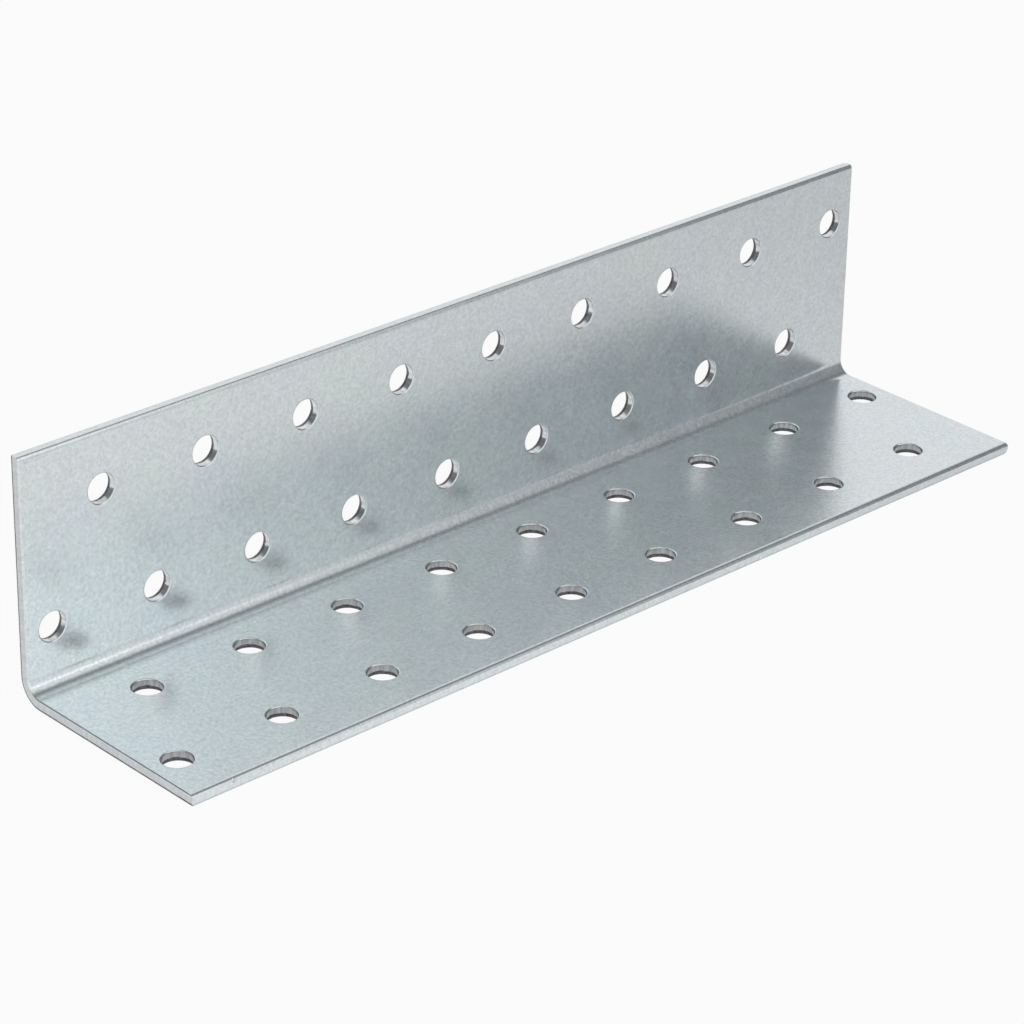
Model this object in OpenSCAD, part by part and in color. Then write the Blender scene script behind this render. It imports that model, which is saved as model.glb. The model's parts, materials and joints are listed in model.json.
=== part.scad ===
// Perforated angle bracket.
// A strip of zinc coated steel sheet is pierced flat with a staggered grid of round holes,
// folded square along its middle line and sheared to length. The base leg lies on Z = 0,
// the upright leg stands along the +Y side and the fold runs along X. All sizes are in mm.

/* [Legs] */
// Length along the fold
bracket_length = 180; // [60:1:400]
// Outside width of the leg that lies flat
base_leg = 41.5; // [26:0.5:100]
// Outside height of the leg that stands up
upright_leg = 41.5; // [26:0.5:100]

/* [Sheet and fold] */
// Thickness of the sheet
sheet = 1.8; // [1.4:0.1:2.5]
// Radius on the inside of the fold
bend_inner_r = 2.5; // [1:0.1:4]
// Depth at which the sheet keeps its length in the fold, as a share of its thickness
neutral_share = 0.42; // [0.3:0.01:0.5]

/* [Hole grid on the flat strip] */
// Distance between neighbouring holes of a row
hole_pitch = 20; // [14:1:40]
// Distance between neighbouring rows
row_pitch = 20; // [18:0.5:30]
// Least distance from a sheared end to the centre of the nearest hole
end_margin = 5; // [5:0.5:25]
// Least distance from a long edge to the centre line of the nearest row
edge_margin = 8; // [5:0.5:20]

/* [Pierced holes] */
// Width of a hole at its cut land
hole_d = 5; // [3:0.1:7]
// Radius of the rim that the punch rolls in
hole_roll_r = 0.2; // [0.1:0.05:0.4]
// Height of the torn part of the hole wall, on the outside of the bracket
hole_tear_depth = 0.65; // [0.2:0.05:0.8]
// Distance by which the torn wall widens to each side
hole_tear_flare = 0.1; // [0.05:0.05:0.3]

/* [Sheared edges] */
// Radius that slitting the strip rolls into the inside face along both long edges
slit_roll_r = 0.5; // [0.1:0.05:0.7]
// Radius that the shear rolls into the inside face at the near end
near_end_roll_r = 0.3; // [0.1:0.05:1]
// Radius that the shear rolls into the outside face at the far end
far_end_roll_r = 1; // [0.1:0.05:1]
// Height of the torn part of a sheared edge, at the face that isn't rolled
edge_tear_depth = 0.35; // [0.1:0.05:0.6]
// Distance by which the torn edge falls back
edge_tear_flare = 0.08; // [0.02:0.02:0.2]

/* [Hidden] */
$fn = 64;

// Reach of a cutting shape past the face that it breaks
past = 1;
// Guard against rounding where a count comes from a length that divides evenly
even = 0.001;
// Least height of the cut land that a roll leaves above the torn part of an edge
least_land = 0.1;

// The fold: from the outside faces to its axis, and the strip's length through it
setback = sheet + bend_inner_r;
bend_allowance = PI / 2 * (bend_inner_r + neutral_share * sheet);

// Plane of the back face, and the flat stretch of each leg
heel_y = base_leg / 2;
base_flat = base_leg - setback;
upright_flat = upright_leg - setback;

// Rows lie at odd halves of the row pitch from the middle of the fold
first_row = setback + (row_pitch - bend_allowance) / 2;
base_rows = row_count(base_leg);
upright_rows = row_count(upright_leg);

// Every second row is shifted by half a pitch, and the grid is centred on the length
stagger = hole_pitch / 2;
holes_per_row = floor((bracket_length - 2 * end_margin - stagger) / hole_pitch + even) + 1;
grid_start = -((holes_per_row - 1) * hole_pitch + stagger) / 2;

// Number of rows that a leg has room for
function row_count(leg) = floor((leg - edge_margin - first_row) / row_pitch + even) + 1;

// Distance of a row from the outside face of the other leg, row 0 being next to the fold
function row_place(row) = first_row + row * row_pitch;

// Place along X of a hole in a row that is shifted or not
function hole_x(index, shifted) = grid_start + index * hole_pitch + (shifted ? stagger : 0);

// What a shear takes off a square edge: material lies at x > 0, the rolled face is y = sheet
module sheared_edge(roll_r) {
    r = min(roll_r, sheet - edge_tear_depth - least_land);
    difference() {
        translate([-past, sheet - r])
            square([past + r, r + past]);
        translate([r, sheet - r])
            circle(r = r);
    }
    polygon([
        [-past, edge_tear_depth],
        [0, edge_tear_depth],
        [edge_tear_flare, 0],
        [edge_tear_flare, -past],
        [-past, -past]
    ]);
}

// Lengthwise section of the strip, outside face at y = 0 and inside face at y = sheet.
// One stroke parts two brackets, so the two ends are rolled at opposite faces.
module strip_section() {
    difference() {
        translate([-bracket_length / 2, 0])
            square([bracket_length, sheet]);
        translate([-bracket_length / 2, 0])
            sheared_edge(near_end_roll_r);
        translate([bracket_length / 2, sheet])
            rotate(180)
                sheared_edge(far_end_roll_r);
    }
}

module base_plate() {
    translate([0, heel_y - setback, 0])
        rotate([90, 0, 0])
            linear_extrude(base_flat)
                strip_section();
}

module upright_plate() {
    translate([0, heel_y, upright_leg])
        rotate([180, 0, 0])
            linear_extrude(upright_flat)
                strip_section();
}

module fold() {
    translate([0, heel_y - setback, setback])
        rotate([0, 90, 0])
            rotate_extrude(angle = 90)
                translate([setback, 0])
                    rotate(90)
                        strip_section();
}

// The slit edge of the strip along the front of the base leg
module front_edge_cut() {
    translate([-bracket_length / 2 - past, -base_leg / 2, 0])
        rotate([90, 0, 90])
            linear_extrude(bracket_length + 2 * past)
                sheared_edge(slit_roll_r);
}

// The slit edge of the strip along the top of the upright leg
module top_edge_cut() {
    translate([bracket_length / 2 + past, heel_y, upright_leg])
        rotate([180, 90, 0])
            linear_extrude(bracket_length + 2 * past)
                sheared_edge(slit_roll_r);
}

// A pierced hole, driven from z = 0 into the sheet: rolled rim, cut land, torn wall
module pierced_hole() {
    hole_r = hole_d / 2;
    rotate_extrude() {
        translate([0, -sheet - past])
            square([hole_r, sheet + 2 * past]);
        translate([hole_r, -hole_roll_r])
            difference() {
                square([hole_roll_r, hole_roll_r + past]);
                translate([hole_roll_r, 0])
                    circle(r = hole_roll_r);
            }
        polygon([
            [0, hole_tear_depth - sheet],
            [hole_r, hole_tear_depth - sheet],
            [hole_r + hole_tear_flare, -sheet],
            [hole_r + hole_tear_flare, -sheet - past],
            [0, -sheet - past]
        ]);
    }
}

// The row next to the fold is the shifted one on the base leg
module base_holes() {
    for (row = [0:base_rows - 1], index = [0:holes_per_row - 1])
        translate([hole_x(index, row % 2 == 0), heel_y - row_place(row), sheet])
            pierced_hole();
}

module upright_holes() {
    for (row = [0:upright_rows - 1], index = [0:holes_per_row - 1])
        translate([hole_x(index, row % 2 == 1), heel_y - sheet, row_place(row)])
            rotate([90, 0, 0])
                pierced_hole();
}

module bracket() {
    color([0.72, 0.75, 0.77])
        difference() {
            union() {
                base_plate();
                fold();
                upright_plate();
            }
            front_edge_cut();
            top_edge_cut();
            base_holes();
            upright_holes();
        }
}

bracket();
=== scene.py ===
"""Dresses a perforated angle bracket: one strip of galvanised sheet, pierced, folded and sheared.

The bracket is modelled the way it is made. A plain strip is swept over the base leg, round the fold
and up the upright leg. Punches then pierce it and shear blades trim its two ends and long edges.
"""

import json
import math

import bmesh
import bpy
from mathutils import Matrix, Vector


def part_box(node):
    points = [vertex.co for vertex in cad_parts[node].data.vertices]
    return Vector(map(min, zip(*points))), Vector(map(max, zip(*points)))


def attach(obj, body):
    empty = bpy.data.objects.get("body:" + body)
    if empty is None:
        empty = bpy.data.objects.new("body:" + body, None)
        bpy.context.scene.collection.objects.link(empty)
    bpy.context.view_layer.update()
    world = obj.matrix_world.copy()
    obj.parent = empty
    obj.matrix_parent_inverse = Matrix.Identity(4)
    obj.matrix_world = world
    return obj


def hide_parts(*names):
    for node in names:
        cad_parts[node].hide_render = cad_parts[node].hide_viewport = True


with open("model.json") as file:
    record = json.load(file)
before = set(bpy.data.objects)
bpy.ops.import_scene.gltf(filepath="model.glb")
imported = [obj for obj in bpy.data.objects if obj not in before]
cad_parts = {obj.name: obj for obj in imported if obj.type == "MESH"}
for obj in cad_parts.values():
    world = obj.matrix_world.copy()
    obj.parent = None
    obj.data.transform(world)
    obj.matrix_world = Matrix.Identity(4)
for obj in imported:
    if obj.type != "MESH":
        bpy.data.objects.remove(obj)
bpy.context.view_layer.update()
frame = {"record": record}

# Sheet and fold, in metres as everything here, while the record's lengths are in millimetres
SHEET = 0.0018
BEND_INNER_R = 0.0025
FOLD_STEPS = 24
MM_PER_METRE = 1000

# Sheared edges: the blade rolls one face in, and the metal tears at the other. A slit edge's roll
# goes as deep as its radius and reaches that many of its radii along the face
SLIT_ROLL_R = 0.0006
SLIT_ROLL_REACH = 1.5
NEAR_END_ROLL_R = 0.0003
FAR_END_ROLL_R = 0.001
EDGE_ROLL_STEPS = 8
EDGE_TEAR_DEPTH = 0.00035
EDGE_TEAR_FLARE = 0.00008
BLADE_STEP = 0.0012

# Pierced holes: rolled rim on the inside of the bracket, cut land, torn wall on the outside
HOLE_PITCH = 0.020
HOLE_SIDES = 64
HOLE_ROLL_R = 0.0002
HOLE_ROLL_STEPS = 5
HOLE_TEAR_DEPTH = 0.00065
HOLE_TEAR_FLARE = 0.0001

# How far the line between cut and torn metal strays, and over what length
TEAR_STRAY = 0.0003
TEAR_STRAY_LENGTH = 0.0009
TEAR_STRAY_DETAIL = 2
EDGE_STRAY_SHARE = 0.5

# Reach of a tool past the face that it breaks
PAST = 0.001

# Faces that meet at less than this are shaded as one
SMOOTH_ANGLE = math.radians(35.0)

# Camera at the photograph's viewpoint
CAMERA_PLACE = Vector((-0.386159, -0.403340, 0.291231))
CAMERA_AZIMUTH = math.radians(-43.149)
CAMERA_ELEVATION = math.radians(26.719)
CAMERA_ROLL = math.radians(1.010)
CAMERA_NEAREST = 0.01
CAMERA_FURTHEST = 50.0
FOCAL_PIXELS = 3869.2
FRAME_PIXELS = 1024
SENSOR = 36.0

# Noise: its detail and roughness, and the stretch of its values that a whole range is spread over
EVEN_NOISE = (2.0, 0.5)
CLOUDY_NOISE = (3.0, 0.6)
GRAINY_NOISE = (4.0, 0.7)
ZINC_STRETCH = (0.3, 0.7)
CUT_STRETCH = (0.35, 0.65)

# Zinc coating: its colour, how it drifts over the sheet, its grain and its gloss
ZINC = (0.765, 0.815, 0.830, 1.0)
ZINC_BLUE = (0.752, 0.812, 0.848, 1.0)
ZINC_GREEN = (0.760, 0.824, 0.822, 1.0)
DRIFT_SIZE = 0.011
DRIFT_TO_BLUE = (0.48, 0.32)
DRIFT_TO_GREEN = (0.52, 0.68)
GRAIN_SIZE = 0.00055
GRAIN_LIGHT = 1.13
GRAIN_DARK = 0.87
CLOUD_SIZE = 0.0045
CLOUD_LIGHT = 1.015
CLOUD_DARK = 0.985
GLOSS_FINE = 0.235
GLOSS_DULL = 0.265
GRAIN_HEIGHT = 0.000008

# Bare metal on the cuts: the land that the tool smeared, and the torn part, whose dark colour is
# partly painted shade
LAND = (0.75, 0.77, 0.79, 1.0)
LAND_LIGHT = 1.12
LAND_DARK = 0.80
LAND_ROUGHNESS = 0.20
LAND_STREAK_SIZE = 0.0004
LAND_STREAK_SQUEEZE = 0.12
LAND_STREAK_HEIGHT = 0.00003
TORN_METAL_AND_SHADE = (0.23, 0.235, 0.24, 1.0)
TORN_LIGHT = 1.4
TORN_DARK = 0.45
TORN_ROUGHNESS = 0.5
TORN_GRAIN_SIZE = 0.00035
TORN_GRAIN_HEIGHT = 0.00016

# Studio floor: its colour, the share of plain white that the camera and the metal see in it, and how
# bright that share is in the metal from one X to another and under the bracket: a painted falloff of
# light and a painted shadow
FLOOR_SIZE = 6.0
FLOOR_COLOUR = (0.86, 0.86, 0.86, 1.0)
FLOOR_GLOW = 0.93
FLOOR_RUN_X = (-0.04, 0.14)
FLOOR_LEFT_LEVEL = 0.90
FLOOR_RIGHT_LEVEL = 0.64
FLOOR_SHADE_LEVEL = 0.46
WHITE = (1.0, 1.0, 1.0, 1.0)

# Studio room: in front, at the far side, overhead, behind, and in the corner behind and to the left
ROOM_FRONT = (0.98, 0.98, 0.98, 1.0)
ROOM_SIDE = (0.117, 0.127, 0.137, 1.0)
ROOM_TOP = (0.190, 0.201, 0.209, 1.0)
ROOM_BACK = (0.865, 0.865, 0.865, 1.0)
ROOM_CORNER = (0.20, 0.21, 0.22, 1.0)

# Where each part of the room starts and where it is full, in parts of a unit step along X or Y. The
# top goes by the tilt from straight up about the fold's line, which is above zero towards the back
SIDE_RUN = (0.499, 0.683)
BACK_RUN = (0.10, 0.40)
LEFT_RUN = (0.0, -0.20)
TOP_RUN = (math.radians(-31.0), math.radians(-5.0))

# Key lamp: the way to it from the bracket, its distance, its size and how bright the metal sees it
KEY_AZIMUTH = math.radians(23.1)
KEY_ELEVATION = math.radians(31.0)
KEY_DISTANCE = 1.1
KEY_WIDTH = 0.29
KEY_HEIGHT = 0.17
KEY_LEVEL = 1.50

# Two places closer than this are the same place, and vertices this close are welded after a cut
SAME = 1e-6
WELD = 1e-7

# A rim's vertex lies this close to its hole's circle, and its edge is at most this many sides long
RIM_SLACK = 4 * SAME
RIM_SIDE_SLACK = 1.01

# How far a face leans from straight through the sheet: less is cut land, more up to the next is torn
UPRIGHT_LEAN = 0.05
TORN_LEAN = 0.5

# A face belongs to an end where its normal goes further along X than this
ENDWAYS = 0.5

# How bare the cuts are: wholly in the holes, half at the ends, whose land is also darkened by painted
# shade in the torn metal's colour, and slit edges hardly show it
EDGE_REACH = 0.0012
END_LAND = 0.5
END_PAINTED_SHADE = 0.2
SLIT_LAND = 0.0
SLIT_TORN = 0.15

# A small dent in the front edge, and a scratch that runs along under the top edge. Each is cut by a
# stretched ball, and the scratch's ball is thicker than the scratch is deep
BALL_SIDES = 24
BALL_RINGS = 16
NICK_PLACE = (-0.0823, -0.02072, 0.00155)
NICK_R = 0.00035
NICK_STRETCH = (0.8, 1.0, 1.4)
SCRATCH_X = -0.0867
SCRATCH_Z = 0.04035
SCRATCH_LENGTH = 0.0048
SCRATCH_WIDTH = 0.00022
SCRATCH_DEPTH = 0.00005833
SCRATCH_BALL_THICKNESS = 0.00015

low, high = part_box("bracket")
LENGTH = high.x - low.x
NEAR_X = low.x
FAR_X = high.x
HEEL_Y = high.y
FRONT_Y = low.y
HEIGHT = high.z
SETBACK = SHEET + BEND_INNER_R
FOLD_Y = HEEL_Y - SETBACK
FOLD_Z = SETBACK

# The mounts that pair a row's outermost two holes, 160 mm apart
HOLE_ROWS = [mount for mount in frame["record"]["mounts"] if mount["name"].endswith("_row_160")]
HOLE_R = HOLE_ROWS[0]["dims"]["hole_r_mm"] / MM_PER_METRE


# Places on the folded sheet

def depth_in_sheet(co):
    """How far a place lies from the outside face of the sheet, at right angles to it."""
    if co.y <= FOLD_Y:
        return co.z
    if co.z >= FOLD_Z:
        return HEEL_Y - co.y
    return SETBACK - math.hypot(co.y - FOLD_Y, co.z - FOLD_Z)


def sheet_way(co):
    """The way from a place on the sheet straight out of its outside face."""
    if co.y <= FOLD_Y:
        return Vector((0.0, 0.0, -1.0))
    if co.z >= FOLD_Z:
        return Vector((0.0, 1.0, 0.0))
    return Vector((0.0, co.y - FOLD_Y, co.z - FOLD_Z)).normalized()


def on_inside_face(co):
    return abs(depth_in_sheet(co) - SHEET) < SAME


def on_tear_line(co):
    depth = depth_in_sheet(co)
    lines = (EDGE_TEAR_DEPTH, SHEET - EDGE_TEAR_DEPTH, HOLE_TEAR_DEPTH)
    return any(abs(depth - line) < SAME for line in lines)


# Modelling helpers

def select_only(obj):
    bpy.ops.object.select_all(action="DESELECT")
    obj.select_set(True)
    bpy.context.view_layer.objects.active = obj


def edit(obj):
    """Opens obj alone in edit mode with nothing in it selected."""
    select_only(obj)
    bpy.ops.object.mode_set(mode="EDIT")
    bpy.ops.mesh.select_all(action="DESELECT")


def finish_edit():
    bpy.ops.object.mode_set(mode="OBJECT")


def pick_vertices(wanted):
    """Selects the vertices whose place passes the test, in the mesh being edited."""
    bpy.ops.mesh.select_all(action="DESELECT")
    bpy.ops.mesh.select_mode(type="VERT")
    mesh = bpy.context.edit_object.data
    shape = bmesh.from_edit_mesh(mesh)
    for vertex in shape.verts:
        vertex.select_set(wanted(vertex.co))
    shape.select_flush_mode()
    bmesh.update_edit_mesh(mesh)


def pick_edges(wanted):
    """Selects the edges whose two ends pass the test together, in the mesh being edited."""
    bpy.ops.mesh.select_all(action="DESELECT")
    bpy.ops.mesh.select_mode(type="EDGE")
    mesh = bpy.context.edit_object.data
    shape = bmesh.from_edit_mesh(mesh)
    for edge in shape.edges:
        start, end = edge.verts
        edge.select_set(wanted(start.co, end.co))
    shape.select_flush_mode()
    bmesh.update_edit_mesh(mesh)


def extrude(step):
    bpy.ops.mesh.extrude_region_move(TRANSFORM_OT_translate={"value": step})


def close_shape():
    """Merges what a spin or an outline doubled and points every face outwards."""
    bpy.ops.mesh.select_all(action="SELECT")
    bpy.ops.mesh.remove_doubles(threshold=SAME)
    bpy.ops.mesh.normals_make_consistent(inside=False)
    finish_edit()


def join(pieces):
    bpy.ops.object.select_all(action="DESELECT")
    for piece in pieces:
        piece.select_set(True)
    bpy.context.view_layer.objects.active = pieces[0]
    bpy.ops.object.join()
    return bpy.context.object


def copy_at(piece, place):
    """A second piece with a mesh of its own, moved and turned by the matrix."""
    mesh = piece.data.copy()
    mesh.transform(place)
    copy = bpy.data.objects.new(piece.name, mesh)
    bpy.context.scene.collection.objects.link(copy)
    return copy


def sweep_round_fold(start_y, end_z, step=None):
    """Draws the selected section from start_y over the base, round the fold and up to end_z."""
    flat = FOLD_Y - start_y
    rise = end_z - FOLD_Z
    flat_steps = math.ceil(flat / step) if step else 1
    rise_steps = math.ceil(rise / step) if step else 1
    for _ in range(flat_steps):
        extrude((0.0, flat / flat_steps, 0.0))
    bpy.ops.mesh.spin(
        steps=FOLD_STEPS, angle=math.pi / 2, center=(0.0, FOLD_Y, FOLD_Z), axis=(-1.0, 0.0, 0.0)
    )
    for _ in range(rise_steps):
        extrude((0.0, 0.0, rise / rise_steps))


# Tools that cut the strip

def blade_outline(roll_r, roll_reach=1.0):
    """Outline in the XZ plane of what a shear takes off an edge whose metal lies at x > 0. The
    sheet's outside face, where the metal tears, is z = 0, and it rolls in the face z = SHEET."""
    bpy.ops.object.select_all(action="DESELECT")
    bpy.ops.mesh.primitive_plane_add(size=PAST)
    blade = bpy.context.object
    edit(blade)
    bpy.ops.mesh.select_mode(type="VERT")
    bpy.ops.mesh.select_all(action="SELECT")
    bpy.ops.mesh.merge(type="CENTER")
    bpy.ops.transform.translate(value=(-PAST, 0.0, -PAST))
    extrude((PAST + EDGE_TEAR_FLARE, 0.0, 0.0))
    extrude((0.0, 0.0, PAST))
    extrude((-EDGE_TEAR_FLARE, 0.0, EDGE_TEAR_DEPTH))
    extrude((0.0, 0.0, SHEET - roll_r - EDGE_TEAR_DEPTH))
    bpy.ops.mesh.spin(
        steps=EDGE_ROLL_STEPS, angle=math.pi / 2, center=(roll_r, 0.0, SHEET - roll_r),
        axis=(0.0, -1.0, 0.0)
    )
    extrude((0.0, 0.0, PAST))
    extrude((-PAST - roll_r, 0.0, 0.0))
    extrude((0.0, 0.0, -SHEET - 2 * PAST))

    # The roll reaches further along the face than it goes down the cut
    pick_vertices(lambda co: co.x > SAME and co.z > SHEET - roll_r - SAME)
    bpy.ops.transform.resize(value=(roll_reach, 1.0, 1.0), center_override=(0.0, 0.0, 0.0))
    bpy.ops.mesh.select_all(action="SELECT")
    bpy.ops.mesh.remove_doubles(threshold=SAME)
    bpy.ops.mesh.edge_face_add()
    return blade


def end_blade(roll_r, place):
    """The blade that shears one end, following the folded sheet. place sets its outline there."""
    blade = blade_outline(roll_r)
    finish_edit()
    blade.data.transform(place)
    edit(blade)
    bpy.ops.mesh.select_all(action="SELECT")
    sweep_round_fold(FRONT_Y - PAST, HEIGHT + PAST, BLADE_STEP)
    close_shape()
    return blade


def end_blades():
    """One stroke parts two brackets, so the two ends are rolled at opposite faces."""
    start = FRONT_Y - PAST
    near = end_blade(NEAR_END_ROLL_R, Matrix.Translation((NEAR_X, start, 0.0)))
    turned = Matrix.Translation((FAR_X, start, SHEET)) @ Matrix.Rotation(math.pi, 4, "Y")
    far = end_blade(FAR_END_ROLL_R, turned)
    return [near, far]


def slitting_blades():
    """The blades along the front edge of the base leg and the top edge of the upright leg."""
    front = blade_outline(SLIT_ROLL_R, SLIT_ROLL_REACH)
    finish_edit()
    at_start = Matrix.Translation((NEAR_X - PAST, FRONT_Y, 0.0))
    front.data.transform(at_start @ Matrix.Rotation(math.pi / 2, 4, "Z"))
    edit(front)
    bpy.ops.mesh.select_all(action="SELECT")
    run = LENGTH + 2 * PAST
    steps = math.ceil(run / BLADE_STEP)
    for _ in range(steps):
        extrude((run / steps, 0.0, 0.0))
    close_shape()

    half_turn = Matrix.Rotation(math.pi, 4, Vector((0.0, 1.0, -1.0)))
    to_top = Matrix.Translation((0.0, HEEL_Y, HEIGHT)) @ half_turn
    top = copy_at(front, to_top @ Matrix.Translation((0.0, -FRONT_Y, 0.0)))
    return [front, top]


def hole_places():
    """Middle of each hole on the outside face, and the way from there to the inside face."""
    places = []
    for row in HOLE_ROWS:
        middle = Vector(row["pos_m"])
        way = Vector(row["axis"])
        if way.z:
            middle.z = 0.0
        else:
            middle.y = HEEL_Y
        reach = row["dims"]["spacing_x_mm"] / MM_PER_METRE / 2
        count = round(2 * reach / HOLE_PITCH) + 1
        for index in range(count):
            along = Vector((index * HOLE_PITCH - reach, 0.0, 0.0))
            places.append((middle + along, way))
    return places


def make_punch():
    """A pin whose foot widens downwards. The sheet's outside face is z = 0, and the foot, which
    leaves the torn wall, goes as far below that face as it goes into the sheet."""
    bpy.ops.object.select_all(action="DESELECT")
    height = SHEET + PAST - HOLE_TEAR_DEPTH
    bpy.ops.mesh.primitive_cylinder_add(
        vertices=HOLE_SIDES, radius=HOLE_R, depth=height,
        location=(0.0, 0.0, HOLE_TEAR_DEPTH + height / 2)
    )
    punch = bpy.context.object
    bpy.ops.object.transform_apply(location=True, rotation=True, scale=True)
    edit(punch)
    pick_vertices(lambda co: abs(co.z - HOLE_TEAR_DEPTH) < SAME)
    extrude((0.0, 0.0, -2 * HOLE_TEAR_DEPTH))
    widening = 1.0 + 2 * HOLE_TEAR_FLARE / HOLE_R
    bpy.ops.transform.resize(value=(widening, widening, 1.0), center_override=(0.0, 0.0, 0.0))
    finish_edit()
    return punch


def gang_of_punches():
    punch = make_punch()
    pieces = []
    for middle, way in hole_places():
        turn = Vector((0.0, 0.0, 1.0)).rotation_difference(way).to_matrix().to_4x4()
        pieces.append(copy_at(punch, Matrix.Translation(middle) @ turn))
    bpy.data.objects.remove(punch)
    return pieces


def stray_tear_lines(tools):
    """Lets the line at which each tool leaves torn metal stray through the sheet's thickness."""
    clouds = bpy.data.textures.new("stray", "CLOUDS")
    clouds.noise_scale = TEAR_STRAY_LENGTH
    clouds.noise_depth = TEAR_STRAY_DETAIL
    legs = (
        ("base tear lines", "Z", lambda co: co.y < FOLD_Y - SAME),
        ("upright tear lines", "Y", lambda co: co.z > FOLD_Z + SAME),
    )
    for name, direction, on_leg in legs:
        group = tools.vertex_groups.new(name=name)
        for vertex in tools.data.vertices:
            if not (on_leg(vertex.co) and on_tear_line(vertex.co)):
                continue
            at_hole = abs(depth_in_sheet(vertex.co) - HOLE_TEAR_DEPTH) < SAME
            group.add([vertex.index], 1.0 if at_hole else EDGE_STRAY_SHARE, "REPLACE")
        stray = tools.modifiers.new(name, "DISPLACE")
        stray.texture = clouds
        stray.texture_coords = "LOCAL"
        stray.direction = direction
        stray.strength = TEAR_STRAY
        stray.vertex_group = name
    select_only(tools)
    for name, _, _ in legs:
        bpy.ops.object.modifier_apply(modifier=name)


# The bracket

def sweep_strip():
    """Sweeps the strip's plain lengthwise section, a little long all round."""
    bpy.ops.object.select_all(action="DESELECT")
    bpy.ops.mesh.primitive_plane_add(size=1.0, location=(0.0, FRONT_Y - PAST / 2, SHEET / 2))
    strip = bpy.context.object
    strip.name = "galvanised_bracket"
    strip.rotation_euler = (math.pi / 2, 0.0, 0.0)
    strip.scale = (LENGTH + PAST, SHEET, 1.0)
    bpy.ops.object.transform_apply(location=True, rotation=True, scale=True)
    edit(strip)
    bpy.ops.mesh.select_mode(type="FACE")
    bpy.ops.mesh.select_all(action="SELECT")
    sweep_round_fold(FRONT_Y - PAST / 2, HEIGHT + PAST / 2)
    close_shape()
    return strip


def cut_away(strip, pieces, stroke):
    """Takes what the tools cover off the strip, in one stroke."""
    tools = join(pieces)
    stray_tear_lines(tools)
    select_only(strip)
    cut = strip.modifiers.new(stroke, "BOOLEAN")
    cut.operation = "DIFFERENCE"
    cut.solver = "EXACT"
    cut.object = tools
    bpy.ops.object.modifier_apply(modifier=cut.name)
    bpy.data.objects.remove(tools)
    edit(strip)
    bpy.ops.mesh.select_all(action="SELECT")
    bpy.ops.mesh.remove_doubles(threshold=WELD)
    bpy.ops.mesh.dissolve_degenerate(threshold=WELD)
    finish_edit()


def roll_rims(strip):
    """Rounds the rim of each hole where the punch went in."""
    middles = [middle for middle, _ in hole_places()]
    slant = math.hypot(HOLE_R, SHEET)
    longest = RIM_SIDE_SLACK * 2 * math.pi * HOLE_R / HOLE_SIDES

    def on_circle(co, middle):
        return abs((co - middle).length - slant) < RIM_SLACK

    def rim(a, b):
        if not (on_inside_face(a) and on_inside_face(b)) or (a - b).length > longest:
            return False
        return any(on_circle(a, middle) and on_circle(b, middle) for middle in middles)

    edit(strip)
    pick_edges(rim)
    bpy.ops.mesh.bevel(
        offset=HOLE_ROLL_R, segments=HOLE_ROLL_STEPS, profile=0.5, affect="EDGES",
        clamp_overlap=False, loop_slide=False
    )
    finish_edit()


def smooth(obj):
    """Smooth shading, with the large flats kept flat by weighting normals with face area."""
    select_only(obj)
    bpy.ops.object.shade_smooth_by_angle(angle=SMOOTH_ANGLE)
    even = obj.modifiers.new("even normals", "WEIGHTED_NORMAL")
    even.mode = "FACE_AREA"
    even.keep_sharp = True
    bpy.ops.object.modifier_apply(modifier=even.name)


def stretched_ball(radius, place, stretch):
    bpy.ops.object.select_all(action="DESELECT")
    bpy.ops.mesh.primitive_uv_sphere_add(
        segments=BALL_SIDES, ring_count=BALL_RINGS, radius=radius, location=place
    )
    ball = bpy.context.object
    ball.scale = stretch
    bpy.ops.object.transform_apply(location=True, rotation=True, scale=True)
    return ball


def nick_and_scratch(strip):
    """The small dent in the front edge and the scratch under the top edge, both near the near end."""
    dent = stretched_ball(NICK_R, NICK_PLACE, NICK_STRETCH)
    groove_y = HEEL_Y - SHEET + SCRATCH_DEPTH - SCRATCH_BALL_THICKNESS / 2
    groove_stretch = (1.0, SCRATCH_BALL_THICKNESS / SCRATCH_LENGTH, SCRATCH_WIDTH / SCRATCH_LENGTH)
    groove = stretched_ball(SCRATCH_LENGTH / 2, (SCRATCH_X, groove_y, SCRATCH_Z), groove_stretch)
    cut_away(strip, [dent, groove], "wear")


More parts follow.
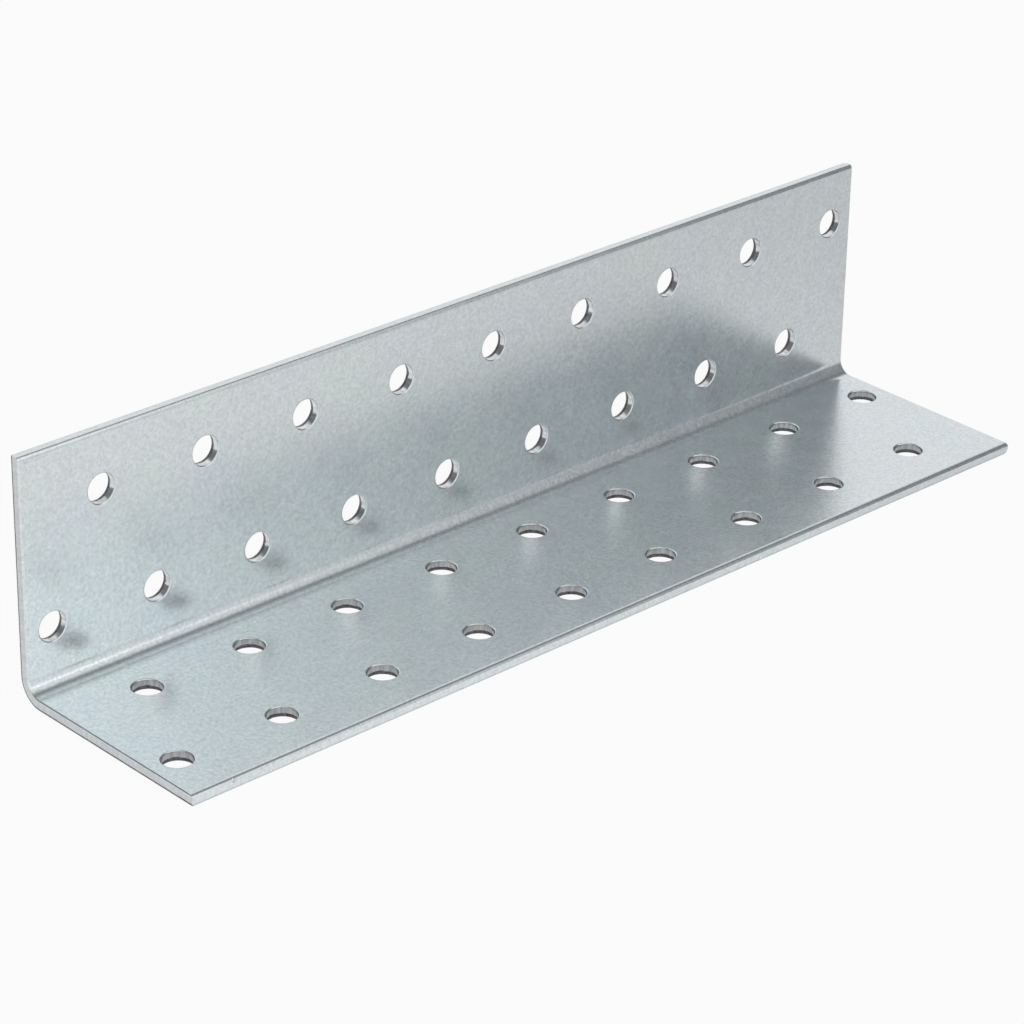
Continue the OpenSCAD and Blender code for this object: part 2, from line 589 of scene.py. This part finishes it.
def mark_cuts(strip):
    """Marks the faces of the cut land and of the torn metal, the torn mark also painting shade on the
    ends' land, and keeps each vertex's place with its depth in the sheet squeezed, so that streaks run
    straight through the thickness."""
    mesh = strip.data
    land = mesh.attributes.new("land", "FLOAT", "FACE")
    torn = mesh.attributes.new("torn", "FLOAT", "FACE")
    for face in mesh.polygons:
        place = face.center
        lean = abs(face.normal.dot(sheet_way(place)))
        depth = depth_in_sheet(place)
        at_end = abs(face.normal.x) > ENDWAYS and abs(place.x) > FAR_X - EDGE_REACH
        at_slit = not at_end and (place.y < FRONT_Y + EDGE_REACH or place.z > HEIGHT - EDGE_REACH)
        torn_side = depth > SHEET / 2 if at_end and place.x > 0 else depth < SHEET / 2
        if lean < UPRIGHT_LEAN:
            land.data[face.index].value = END_LAND if at_end else SLIT_LAND if at_slit else 1.0
            # The ends' land gets some of the torn mark's dark colour as painted shade
            torn.data[face.index].value = END_PAINTED_SHADE if at_end else 0.0
        elif lean < TORN_LEAN and torn_side:
            torn.data[face.index].value = SLIT_TORN if at_slit else 1.0
    squeezed = mesh.attributes.new("streak_place", "FLOAT_VECTOR", "POINT")
    for vertex in mesh.vertices:
        through = sheet_way(vertex.co) * depth_in_sheet(vertex.co)
        squeezed.data[vertex.index].vector = vertex.co + through * (1.0 - LAND_STREAK_SQUEEZE)


# Material

def add_mark(nodes, name, output="Fac"):
    """Reads what mark_cuts wrote on the mesh under the name."""
    mark = nodes.new("ShaderNodeAttribute")
    mark.attribute_name = name
    return mark.outputs[output]


def add_noise(nodes, links, place, size, kind):
    """Noise with features of about the size given. Its kind is a pair of detail and roughness."""
    detail, roughness = kind
    noise = nodes.new("ShaderNodeTexNoise")
    noise.inputs["Scale"].default_value = 1.0 / size
    noise.inputs["Detail"].default_value = detail
    noise.inputs["Roughness"].default_value = roughness
    links.new(place, noise.inputs["Vector"])
    return noise.outputs["Fac"]


def add_range(nodes, links, value, run, low_value, high_value, slope="LINEAR"):
    """Turns a value that goes from one end of the run to the other into one from low to high."""
    start, end = run
    spread = nodes.new("ShaderNodeMapRange")
    spread.interpolation_type = slope
    spread.inputs["From Min"].default_value = start
    spread.inputs["From Max"].default_value = end
    spread.inputs["To Min"].default_value = low_value
    spread.inputs["To Max"].default_value = high_value
    links.new(value, spread.inputs["Value"])
    return spread.outputs["Result"]


def add_colour_mix(nodes, links, share, first, second):
    """Mixes two colours, each a socket or a plain value."""
    mix = nodes.new("ShaderNodeMix")
    mix.data_type = "RGBA"
    ends = [socket for socket in mix.inputs if socket.type == "RGBA"]
    for socket, colour in zip(ends, (first, second)):
        if isinstance(colour, tuple):
            socket.default_value = colour
        else:
            links.new(colour, socket)
    links.new(share, mix.inputs[0])
    return next(socket for socket in mix.outputs if socket.type == "RGBA")


def add_shade(nodes, links, colour, level):
    """Makes a colour, a socket or a plain value, lighter or darker by the level."""
    shade = nodes.new("ShaderNodeVectorMath")
    shade.operation = "SCALE"
    if isinstance(colour, tuple):
        shade.inputs[0].default_value = colour[:3]
    else:
        links.new(colour, shade.inputs[0])
    links.new(level, shade.inputs["Scale"])
    return shade.outputs["Vector"]


def add_value_mix(nodes, links, share, first, second):
    """Mixes two values, each a socket or a plain value."""
    mix = nodes.new("ShaderNodeMix")
    mix.data_type = "FLOAT"
    for socket, value in zip(mix.inputs[2:4], (first, second)):
        if isinstance(value, float):
            socket.default_value = value
        else:
            links.new(value, socket)
    links.new(share, mix.inputs[0])
    return mix.outputs[0]


def add_math(nodes, links, operation, first, second=0.0):
    """Works out one operation on a socket and a second value, which is a socket or a plain value."""
    result = nodes.new("ShaderNodeMath")
    result.operation = operation
    links.new(first, result.inputs[0])
    if isinstance(second, float):
        result.inputs[1].default_value = second
    else:
        links.new(second, result.inputs[1])
    return result.outputs["Value"]


def galvanised_steel():
    """Zinc coated sheet whose cuts are bare: smeared on the land, dark and rough where torn, the dark
    partly painted shade.
    """
    material = bpy.data.materials.new("galvanised steel")
    material.use_nodes = True
    nodes = material.node_tree.nodes
    links = material.node_tree.links
    shader = nodes["Principled BSDF"]
    place = nodes.new("ShaderNodeTexCoord").outputs["Object"]
    land = add_mark(nodes, "land")
    torn = add_mark(nodes, "torn")
    streak_place = add_mark(nodes, "streak_place", "Vector")

    # The zinc's colour drifts between bluish and greenish, with clouds and a fine grain over it
    drift = add_noise(nodes, links, place, DRIFT_SIZE, EVEN_NOISE)
    to_green = add_range(nodes, links, drift, DRIFT_TO_GREEN, 0.0, 1.0)
    to_blue = add_range(nodes, links, drift, DRIFT_TO_BLUE, 0.0, 1.0)
    zinc = add_colour_mix(nodes, links, to_green, ZINC, ZINC_GREEN)
    zinc = add_colour_mix(nodes, links, to_blue, zinc, ZINC_BLUE)
    grain = add_noise(nodes, links, place, GRAIN_SIZE, GRAINY_NOISE)
    clouds = add_noise(nodes, links, place, CLOUD_SIZE, CLOUDY_NOISE)
    speckle = add_range(nodes, links, grain, ZINC_STRETCH, GRAIN_DARK, GRAIN_LIGHT)
    cloud = add_range(nodes, links, clouds, ZINC_STRETCH, CLOUD_DARK, CLOUD_LIGHT)
    zinc = add_shade(nodes, links, zinc, add_math(nodes, links, "MULTIPLY", speckle, cloud))
    gloss = add_range(nodes, links, clouds, ZINC_STRETCH, GLOSS_FINE, GLOSS_DULL)

    # Streaks on the land run through the thickness, and the torn metal is coarse
    streaks = add_noise(nodes, links, streak_place, LAND_STREAK_SIZE, EVEN_NOISE)
    streak_shade = add_range(nodes, links, streaks, CUT_STRETCH, LAND_DARK, LAND_LIGHT)
    smeared = add_shade(nodes, links, LAND, streak_shade)
    crumbs = add_noise(nodes, links, place, TORN_GRAIN_SIZE, CLOUDY_NOISE)
    crumb_shade = add_range(nodes, links, crumbs, CUT_STRETCH, TORN_DARK, TORN_LIGHT)
    # The torn metal's dark colour is partly painted shade, standing for the shadow that it would
    # mirror under the edges
    crumbled_and_shaded = add_shade(nodes, links, TORN_METAL_AND_SHADE, crumb_shade)
    colour = add_colour_mix(nodes, links, land, zinc, smeared)
    colour = add_colour_mix(nodes, links, torn, colour, crumbled_and_shaded)
    roughness = add_value_mix(nodes, links, land, gloss, LAND_ROUGHNESS)
    roughness = add_value_mix(nodes, links, torn, roughness, TORN_ROUGHNESS)

    grain_relief = add_math(nodes, links, "MULTIPLY", grain, GRAIN_HEIGHT)
    streak_relief = add_math(nodes, links, "MULTIPLY", streaks, LAND_STREAK_HEIGHT)
    crumb_relief = add_math(nodes, links, "MULTIPLY", crumbs, TORN_GRAIN_HEIGHT)
    relief = add_value_mix(nodes, links, land, grain_relief, streak_relief)
    relief = add_value_mix(nodes, links, torn, relief, crumb_relief)
    bump = nodes.new("ShaderNodeBump")
    bump.inputs["Distance"].default_value = 1.0
    links.new(relief, bump.inputs["Height"])

    shader.inputs["Metallic"].default_value = 1.0
    links.new(colour, shader.inputs["Base Color"])
    links.new(roughness, shader.inputs["Roughness"])
    links.new(bump.outputs["Normal"], shader.inputs["Normal"])
    return material


# Studio

def pale_floor():
    bpy.ops.object.select_all(action="DESELECT")
    bpy.ops.mesh.primitive_plane_add(size=FLOOR_SIZE, location=(0.0, 0.0, 0.0))
    floor = bpy.context.object
    floor.name = "floor"
    material = bpy.data.materials.new("pale floor")
    material.use_nodes = True
    nodes = material.node_tree.nodes
    links = material.node_tree.links
    shader = nodes["Principled BSDF"]
    shader.inputs["Base Color"].default_value = FLOOR_COLOUR
    shader.inputs["Roughness"].default_value = 1.0
    shader.inputs["Specular IOR Level"].default_value = 0.0

    # In the metal the floor darkens a little to the right, a painted falloff of light
    parts = nodes.new("ShaderNodeSeparateXYZ")
    links.new(nodes.new("ShaderNodeTexCoord").outputs["Object"], parts.inputs["Vector"])
    lit = add_range(nodes, links, parts.outputs["X"], FLOOR_RUN_X, FLOOR_LEFT_LEVEL, FLOOR_RIGHT_LEVEL)

    # Under the bracket it has a painted shadow, which the walls of the base leg's holes mirror
    from_middle_x = add_math(nodes, links, "ABSOLUTE", parts.outputs["X"])
    from_middle_y = add_math(nodes, links, "ABSOLUTE", parts.outputs["Y"])
    within_x = add_math(nodes, links, "LESS_THAN", from_middle_x, FAR_X)
    within_y = add_math(nodes, links, "LESS_THAN", from_middle_y, HEEL_Y)
    under = add_math(nodes, links, "MULTIPLY", within_x, within_y)
    mirrored = add_value_mix(nodes, links, under, lit, FLOOR_SHADE_LEVEL)

    # The camera sees it nearly white, and light that falls on it otherwise meets a plain surface
    path = nodes.new("ShaderNodeLightPath")
    by_camera = path.outputs["Is Camera Ray"]
    seen = add_math(nodes, links, "MAXIMUM", by_camera, path.outputs["Is Glossy Ray"])
    white = nodes.new("ShaderNodeEmission")
    white.inputs["Color"].default_value = WHITE
    links.new(add_math(nodes, links, "MAXIMUM", mirrored, by_camera), white.inputs["Strength"])
    mix = nodes.new("ShaderNodeMixShader")
    links.new(add_math(nodes, links, "MULTIPLY", seen, FLOOR_GLOW), mix.inputs["Fac"])
    links.new(shader.outputs["BSDF"], mix.inputs[1])
    links.new(white.outputs["Emission"], mix.inputs[2])
    links.new(mix.outputs["Shader"], nodes["Material Output"].inputs["Surface"])
    floor.data.materials.append(material)


def studio_world():
    """A light room with a dark side, top and corner, and plain white where the camera looks."""
    world = bpy.data.worlds.new("studio")
    bpy.context.scene.world = world
    world.use_nodes = True
    nodes = world.node_tree.nodes
    links = world.node_tree.links
    parts = nodes.new("ShaderNodeSeparateXYZ")
    links.new(nodes.new("ShaderNodeTexCoord").outputs["Generated"], parts.inputs["Vector"])
    tilt = add_math(nodes, links, "ARCTAN2", parts.outputs["Y"], parts.outputs["Z"])
    colour = ROOM_FRONT
    for measure, run, part in (
        (parts.outputs["X"], SIDE_RUN, ROOM_SIDE),
        (tilt, TOP_RUN, ROOM_TOP),
        (parts.outputs["Y"], BACK_RUN, ROOM_BACK),
    ):
        share = add_range(nodes, links, measure, run, 0.0, 1.0, "SMOOTHSTEP")
        colour = add_colour_mix(nodes, links, share, colour, part)

    # The corner behind and to the left is dark. It shows in the near end's roll, as a fine line, and
    # in the walls of the upright leg's holes
    left = add_range(nodes, links, parts.outputs["X"], LEFT_RUN, 0.0, 1.0)
    behind = add_range(nodes, links, parts.outputs["Y"], BACK_RUN, 0.0, 1.0)
    corner = add_math(nodes, links, "MULTIPLY", left, behind)
    colour = add_colour_mix(nodes, links, corner, colour, ROOM_CORNER)
    path = nodes.new("ShaderNodeLightPath")
    shown = add_colour_mix(nodes, links, path.outputs["Is Camera Ray"], colour, WHITE)
    links.new(shown, nodes["Background"].inputs["Color"])


def way_from_bracket(azimuth, elevation):
    """A unit step. Azimuth turns it from straight in front, -Y, towards +X."""
    return Vector((
        math.sin(azimuth) * math.cos(elevation),
        -math.cos(azimuth) * math.cos(elevation),
        math.sin(elevation),
    ))


def key_soft_box():
    """The oblong lamp that faces the bracket."""
    data = bpy.data.lights.new("key soft box", "AREA")
    data.shape = "RECTANGLE"
    data.size = KEY_WIDTH
    data.size_y = KEY_HEIGHT
    data.energy = KEY_LEVEL * math.pi * KEY_WIDTH * KEY_HEIGHT
    lamp = bpy.data.objects.new(data.name, data)
    bpy.context.scene.collection.objects.link(lamp)
    way = way_from_bracket(KEY_AZIMUTH, KEY_ELEVATION)
    lamp.location = way * KEY_DISTANCE
    lamp.rotation_euler = way.to_track_quat("Z", "Y").to_euler()


def place_camera():
    data = bpy.data.cameras.new("camera")
    data.sensor_width = SENSOR
    data.lens = SENSOR * FOCAL_PIXELS / FRAME_PIXELS
    data.clip_start = CAMERA_NEAREST
    data.clip_end = CAMERA_FURTHEST
    camera = bpy.data.objects.new(data.name, data)
    bpy.context.scene.collection.objects.link(camera)
    back = way_from_bracket(CAMERA_AZIMUTH, CAMERA_ELEVATION)
    right = Vector((0.0, 0.0, 1.0)).cross(back).normalized()
    axes = Matrix((right, back.cross(right), back)).transposed()
    turned = Matrix.Rotation(CAMERA_ROLL, 3, back) @ axes
    camera.matrix_world = Matrix.Translation(CAMERA_PLACE) @ turned.to_4x4()
    bpy.context.scene.camera = camera


bracket = sweep_strip()
cut_away(bracket, gang_of_punches(), "pierce")
cut_away(bracket, end_blades(), "shear")
cut_away(bracket, slitting_blades(), "slit")
roll_rims(bracket)
nick_and_scratch(bracket)
mark_cuts(bracket)
smooth(bracket)
bracket.data.materials.clear()
bracket.data.materials.append(galvanised_steel())
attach(bracket, "root")
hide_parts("bracket")

pale_floor()
studio_world()
key_soft_box()
place_camera()

bpy.context.scene.view_settings.view_transform = "Standard"
